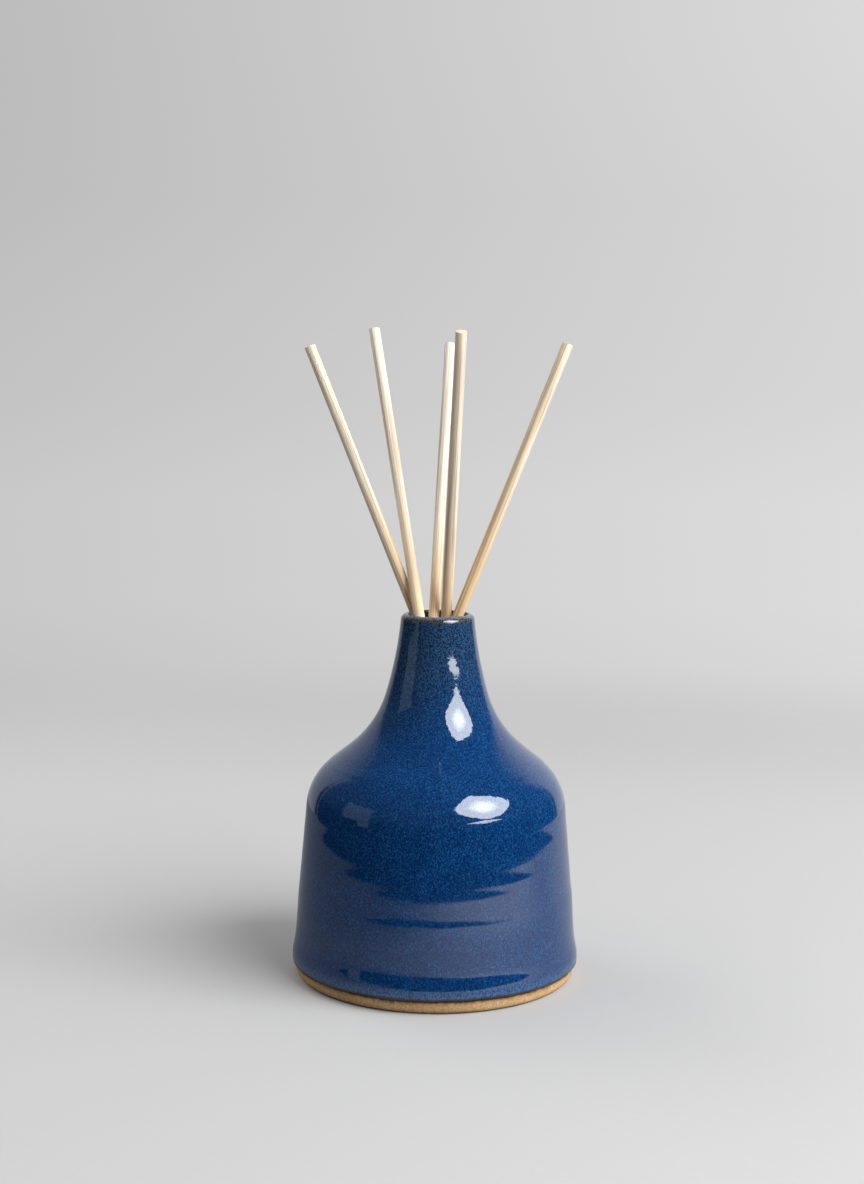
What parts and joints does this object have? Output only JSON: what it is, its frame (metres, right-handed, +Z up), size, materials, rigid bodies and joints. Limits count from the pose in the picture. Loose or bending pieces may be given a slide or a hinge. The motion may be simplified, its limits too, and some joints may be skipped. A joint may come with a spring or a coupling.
{
  "type": "reed diffuser",
  "caption": "Home-fragrance reed diffuser: a glazed stoneware bottle with a narrow neck and a bare clay foot, holding scented oil and loose wooden reeds that pull out.",
  "frame": {"origin": "centre of the foot's flat underside, where the bottle stands on the table", "axes": "+Z up along the bottle's own axis; -Y is the front, the side seen in the picture; +X is to the right in that view"},
  "size_m": [0.0798, 0.0798, 0.1791],
  "materials": {
    "bare_clay": "matte",
    "blue_glaze": "gloss",
    "scented_oil": "gloss",
    "reed_wood": "matte"
  },
  "bodies": {
    "bottle": {"stoneware_body": "bare_clay", "glaze_coat": "blue_glaze", "fragrance_oil": "scented_oil"},
    "reed_1": {"reed_1": "reed_wood"},
    "reed_2": {"reed_2": "reed_wood"},
    "reed_3": {"reed_3": "reed_wood"},
    "reed_4": {"reed_4": "reed_wood"},
    "reed_5": {"reed_5": "reed_wood"}
  },
  "joints": [
    {"name": "reed_1_pull", "type": "slide", "parent": "bottle", "child": "reed_1", "axis": [-0.3675, -0.0954, 0.9251], "range_m": [0, 0.11]},
    {"name": "reed_2_pull", "type": "slide", "parent": "bottle", "child": "reed_2", "axis": [-0.1641, 0.2454, 0.9554], "range_m": [0, 0.11]},
    {"name": "reed_3_pull", "type": "slide", "parent": "bottle", "child": "reed_3", "axis": [0.0487, 0.3519, 0.9348], "range_m": [0, 0.11]},
    {"name": "reed_4_pull", "type": "slide", "parent": "bottle", "child": "reed_4", "axis": [0.0359, -0.323, 0.9457], "range_m": [0, 0.11]},
    {"name": "reed_5_pull", "type": "slide", "parent": "bottle", "child": "reed_5", "axis": [0.36, -0.0415, 0.932], "range_m": [0, 0.11]}
  ]
}
